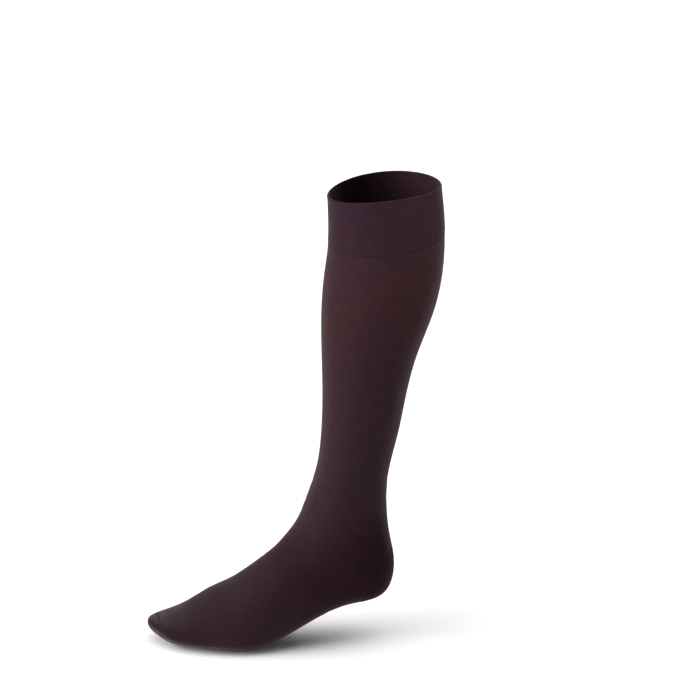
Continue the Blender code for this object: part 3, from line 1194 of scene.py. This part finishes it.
@dataclass
class LinkedRow:
    """A row of yarn loops that joins two edges of knit, made as one mesh.

    lines gives its lines as places and turns. spacing is from loop to loop and sunk how far the
    yarn's middle lies below the form, in millimetres. upright loops stand across the line, and
    others lie along it.
    """

    form: StockingForm
    piece: str
    slot: str
    finish: "PlyYarn"
    loop: YarnLoop
    lines: Callable[[], list[tuple[Grid, Grid]]]
    spacing: float
    sunk: float = 0.0
    upright: bool = True

    SAMPLES = 400  # points of a line
    LOOK = 0.2  # mm ahead and behind, for the line's direction

    def stations(self, place: Grid, turn: Grid) -> tuple[Grid, Grid, Grid]:
        """Where the loops stand on one line.

        Args:
            place: places along the line.
            turn: turns along the line.

        Returns:
            The loops' middles, the line's directions and the surface's normals there.
        """
        points = self.form.surface(place, turn)
        length = np.concatenate([[0.0], np.cumsum(np.linalg.norm(np.diff(points, axis=0), axis=1))])
        count = max(2, round(length[-1] / self.spacing))
        at = (np.arange(count) + 0.5) / count * length[-1]
        place, turn = np.interp(at, length, place), np.interp(at, length, turn)
        ahead, behind = (
            np.stack([np.interp(at + look, length, axis) for axis in points.T], axis=1)
            for look in (self.LOOK, -self.LOOK)
        )
        normals = self.form.outward(place[:, None], turn[:, None])[:, 0]
        middles = self.form.surface(place, turn) - normals * self.sunk
        return middles, unit(ahead - behind), normals

    def build(self) -> bpy.types.Object:
        """Models one loop and sets copies of it along the lines.

        Returns:
            The row's object.
        """
        corners, faces = self.loop.shape()
        vertices, polygons = [], []
        for place, turn in self.lines():
            middles, along, normals = self.stations(place, turn)
            across = unit(np.cross(normals, along))
            first, second = (along, across) if self.upright else (across, -along)
            frame = np.stack([first, second, normals], axis=1)
            placed = middles[:, None, :] + np.einsum("vk,lkx->lvx", corners, frame)
            for loop in placed:
                polygons.append(faces + len(vertices) * len(corners))
                vertices.append(loop * MM)
        mesh = bpy.data.meshes.new(self.piece)
        mesh.from_pydata(np.concatenate(vertices).tolist(), [], np.concatenate(polygons).tolist())
        finish_mesh(mesh)
        return add_object(self.piece, mesh)

    def make(self, materials: Materials) -> bpy.types.Object:
        """Builds and dresses the row, sets it on its body and reports it.

        Args:
            materials: every material by its name.

        Returns:
            The row's object.
        """
        row = self.build()
        row.data.materials.append(materials[self.finish.name])
        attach(row, BODY)
        report(row)
        return row


@dataclass(frozen=True)
class PlyYarn:
    """The same dyed polyamide as a plied yarn, smoother than the knit that it links.

    Each row of loops has its own shade of it, so that it shows faintly against the knit.
    """

    name: str
    colour: str
    roughness: float = 0.7
    sheen: float = 0.06
    specular: float = 0.05

    PLY_GRAIN = 0.5, 2.0  # mm, and the noise's detail
    PLY_SHADE = 0.8, 0.4  # how light the plies are at least, and how much more at most
    PLY_DEPTH = 0.05  # mm between them

    def material(self) -> bpy.types.Material:
        """Makes the material.

        Returns:
            A material with the yarn's colour and the relief of its plies.
        """
        material, tree, shader = new_material(self.name)
        plies = add_node(tree, NOISE, grain(tree, *self.PLY_GRAIN))
        least, more = self.PLY_SHADE
        shade = add_node(tree, MATH, (plies, more, least), operation="MULTIPLY_ADD")
        scale = {0: linear(self.colour)[:3], "Scale": shade}
        relief = {"Height": plies, "Distance": self.PLY_DEPTH * MM}
        inputs = {
            "Base Color": add_node(tree, VECTOR_MATH, scale, operation="SCALE"),
            "Roughness": self.roughness,
            "Normal": add_node(tree, "ShaderNodeBump", relief),
            "Specular IOR Level": self.specular,
            "Sheen Weight": self.sheen,
        }
        fill(tree, shader, inputs)
        return material


BAND_YARN = PlyYarn("band_link_yarn", "#2C1B21")
HEEL_YARN = PlyYarn("heel_link_yarn", "#1A0C11")
TOE_YARN = PlyYarn("toe_link_yarn", "#2D2126")


@dataclass
class Links:
    """Where the stocking's zones are linked: under the band, at the heel and over the toes."""

    form: StockingForm
    toe_middle: float = 664.0  # ring scale, where the toe link crosses the middle of the toes
    toe_fall: float = 9.0  # ring scale, how far back it runs to its two ends
    toe_bow: float = 1.8  # the power by which it bends back
    toe_reach: float = radians(94.0)  # to each side of the front
    heel_span: tuple[float, float] = (0.98, 0.42)  # its two ends, as shares of the pocket's half span

    def band(self) -> list[tuple[Grid, Grid]]:
        """All round, on the line between band and leg."""
        turn = np.linspace(-pi, pi, LinkedRow.SAMPLES)
        return [(np.full_like(turn, self.form.place["band_line"]), turn)]

    def heel(self) -> list[tuple[Grid, Grid]]:
        """On each side, from the heel pocket's end up along the leg's border.

        Returns:
            Its two lines, as places and turns.
        """
        lines = []
        share = np.linspace(*self.heel_span, LinkedRow.SAMPLES)
        for side in (-1, 1):
            turn = side * (pi - self.form.HEEL_HALF_SPAN * share)
            lines.append((self.form.heel_upper(turn), turn))
        return lines

    def toe(self) -> list[tuple[Grid, Grid]]:
        """Over the toes from side to side, a little behind their tips.

        Returns:
            Its one line, as places and turns.
        """
        share = np.linspace(-1.0, 1.0, LinkedRow.SAMPLES)
        place = self.toe_middle - self.toe_fall * np.abs(share) ** self.toe_bow
        return [(place, share * self.toe_reach)]


# ---- Studio ----


@dataclass(frozen=True)
class SoftLight:
    """A large far light. Its spread is how wide it looks from the floor.

    azimuth is its direction round the stocking, 0 on the camera's side and negative to the left,
    and height its height over the floor, all in degrees.
    """

    name: str
    strength: float
    spread: float
    azimuth: float
    height: float

    FAR = 4.0  # metres away, which changes nothing for a light without falloff

    def place(self) -> bpy.types.Object:
        """Sets it up.

        Returns:
            Its object.
        """
        light = bpy.data.lights.new(self.name, "SUN")
        light.energy = self.strength
        light.angle = radians(self.spread)
        lamp = add_object(self.name, light)
        aside, up = radians(self.azimuth), radians(self.height)
        towards = Vector((sin(aside) * cos(up), -cos(aside) * cos(up), sin(up)))
        lamp.location = self.FAR * towards
        lamp.rotation_euler = lamp.location.to_track_quat("Z", "Y").to_euler()
        return lamp


@dataclass
class Studio:
    """A white paper floor, and soft light mostly from the left and from above.

    A faint light comes from the right and a little from all round. The camera's places are in
    millimetres, and focal_pixels is its focal length in pixels of a picture of that width.
    """

    floor_height: float
    floor_size: float = 24.0
    sky: str = "#FBFBFF"
    sky_strength: float = 0.08
    soft_lights: tuple[SoftLight, ...] = (
        SoftLight("left_light", 4.8, 60.0, -76.0, 20.0),
        SoftLight("top_light", 2.4, 90.0, 175.0, 74.0),
        SoftLight("right_light", 0.5, 60.0, 95.0, 30.0),
    )
    camera_place: tuple[float, float, float] = (-603.5, -4294.1, 1204.6)
    camera_aim: tuple[float, float, float] = (-33.1, 0.0, -160.3)
    focal_pixels: float = 4687.5
    picture: float = 700.0

    SENSOR = 36.0  # mm
    PAPER_TINTS = "#F3F1EF", "#F8F7F5"
    PAPER_CLOUDS = 3.0  # in a metre
    PAPER_ROUGHNESS = 0.9
    PAPER_SPECULAR = 0.1

    def floor(self) -> bpy.types.Object:
        """Lays the floor under the lowest point of the foot.

        Returns:
            Its object.
        """
        bpy.ops.object.select_all(action="DESELECT")
        bpy.ops.mesh.primitive_plane_add(size=self.floor_size, location=(0, 0, self.floor_height))
        floor = bpy.context.object
        floor.name = "floor"
        bpy.ops.object.transform_apply(location=True, rotation=True, scale=True)
        floor.data.materials.append(self._paper())
        floor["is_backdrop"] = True
        return floor

    def _paper(self) -> bpy.types.Material:
        """Makes matte white background paper, with a faint cloudiness.

        Returns:
            The material.
        """
        material, tree, shader = new_material("background_paper")
        where = add_node(tree, "ShaderNodeTexCoord").outputs["Object"]
        clouds = add_node(tree, NOISE, {"Vector": where, "Scale": self.PAPER_CLOUDS})
        darker, lighter = map(linear, self.PAPER_TINTS)
        tint = add_node(tree, MIX, {0: clouds, 6: darker, 7: lighter}, data_type="RGBA")
        inputs = {
            "Base Color": tint.outputs[2],
            "Roughness": self.PAPER_ROUGHNESS,
            "Specular IOR Level": self.PAPER_SPECULAR,
        }
        fill(tree, shader, inputs)
        return material

    def lights(self) -> None:
        """Lights the room faintly all round, and sets up the soft lights."""
        world = bpy.data.worlds.new("studio")
        bpy.context.scene.world = world
        world.use_nodes = True
        sky = {"Color": linear(self.sky), "Strength": self.sky_strength}
        fill(world.node_tree, world.node_tree.nodes["Background"], sky)
        for light in self.soft_lights:
            light.place()

    def camera(self) -> bpy.types.Object:
        """Sets up the camera, a long lens that looks down a little.

        Returns:
            Its object.
        """
        data = bpy.data.cameras.new("camera")
        data.sensor_width = self.SENSOR
        data.lens = self.focal_pixels / self.picture * self.SENSOR
        camera = add_object("camera", data)
        place, aim = Vector(self.camera_place) * MM, Vector(self.camera_aim) * MM
        turn = (aim - place).to_track_quat("-Z", "Y")
        camera.matrix_world = Matrix.Translation(place) @ turn.to_matrix().to_4x4()
        bpy.context.scene.camera = camera
        return camera


# ---- The whole ----


def report(piece: bpy.types.Object) -> None:
    """Logs a piece's name and how many faces it has."""
    LOG.info("%s: %d faces", piece.name, len(piece.data.polygons))


def corners(box: tuple[Vector, Vector]) -> list[list[float]]:
    """A box's two corners as plain lists."""
    return [list(corner) for corner in box]


def main() -> None:
    """Loads the frame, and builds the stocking's pieces and the studio."""
    logging.basicConfig(level=logging.INFO, format="%(name)s: %(message)s")
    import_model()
    bpy.context.scene.view_settings.view_transform = "Standard"
    form = StockingForm(RINGS, CREASES)
    finishes = (LEG_KNIT, BAND_KNIT, HEEL_KNIT, TOE_KNIT, REVERSE_KNIT)
    yarns = (BAND_YARN, HEEL_YARN, TOE_YARN)
    materials = {finish.name: finish.material() for finish in (*finishes, *yarns)}

    links = Links(form)
    rows = {
        "band": LinkedRow(
            form, "band_link", "band_knit", BAND_YARN, YarnLoop(1.3, 2.0, 0.34),
            links.band, spacing=1.95, sunk=0.02,
        ),
        "heel": LinkedRow(
            form, "heel_link", "heel_knit", HEEL_YARN, YarnLoop(1.0, 1.5, 0.3),
            links.heel, spacing=1.8, sunk=0.05,
        ),
        "toe": LinkedRow(
            form, "toe_link", "toe_knit", TOE_YARN, YarnLoop(1.5, 1.9, 0.45),
            links.toe, spacing=1.15, sunk=0.03, upright=False,
        ),
    }
    made = {name: row.make(materials) for name, row in rows.items()}

    zones = (
        TopBand(
            form, "band_cloth", "top_band", "band_knit", BAND_KNIT, wall=2.2,
            course=1.2, link=[made["band"]],
        ),
        Leg(form, "leg_cloth", "leg", "leg_knit", LEG_KNIT, wall=1.2),
        HeelPocket(
            form, "heel_cloth", "heel_pocket", "heel_knit", HEEL_KNIT, wall=1.6,
            course=1.6, columns=72, link=[made["heel"]],
        ),
        Foot(form, "foot_cloth", "foot", "foot_knit", LEG_KNIT, wall=1.2, girth_kept=0.8),
        ToeCap(
            form, "toe_cloth", "toe_cap", "toe_knit", TOE_KNIT, wall=1.5,
            girth_kept=0.85, link=[made["toe"]],
        ),
    )
    for zone in zones:
        zone.make(materials)

    visual_box = corners(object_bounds())
    studio = Studio(floor_height=visual_box[0][2])
    studio.floor()
    studio.lights()
    studio.camera()


if __name__ == "__main__":
    main()
